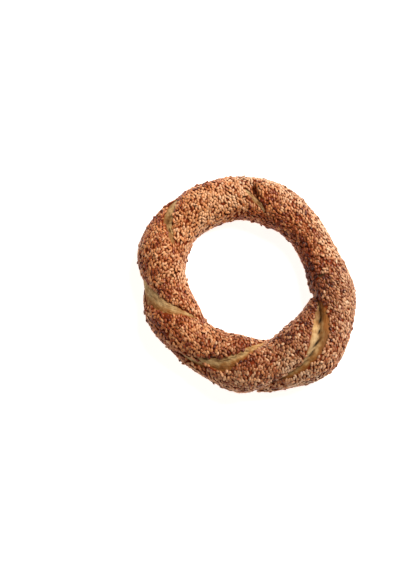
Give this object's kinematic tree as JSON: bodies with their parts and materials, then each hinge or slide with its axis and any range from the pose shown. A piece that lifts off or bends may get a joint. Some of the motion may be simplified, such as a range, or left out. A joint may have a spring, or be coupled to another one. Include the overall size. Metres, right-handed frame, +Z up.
{
  "type": "simit",
  "caption": "Ring of twisted bread coated in toasted sesame seeds, with pale seams where its two strands meet, lying flat.",
  "frame": {"origin": "on the surface it lies on, under the middle of its box", "axes": "+Z up through the ring; +X to the side where a deep seam reaches the hole; +Y to the side with the pressed joint"},
  "size_m": [0.1696, 0.173, 0.0369],
  "materials": {
    "sesame_crust": "toasted sesame seeds on a brown crust, matt with a faint molasses gloss",
    "bare_dough": "smooth pale crust where the seams opened in the oven, matt"
  },
  "bodies": {
    "root": {"simit": "sesame_crust"}
  },
  "joints": []
}
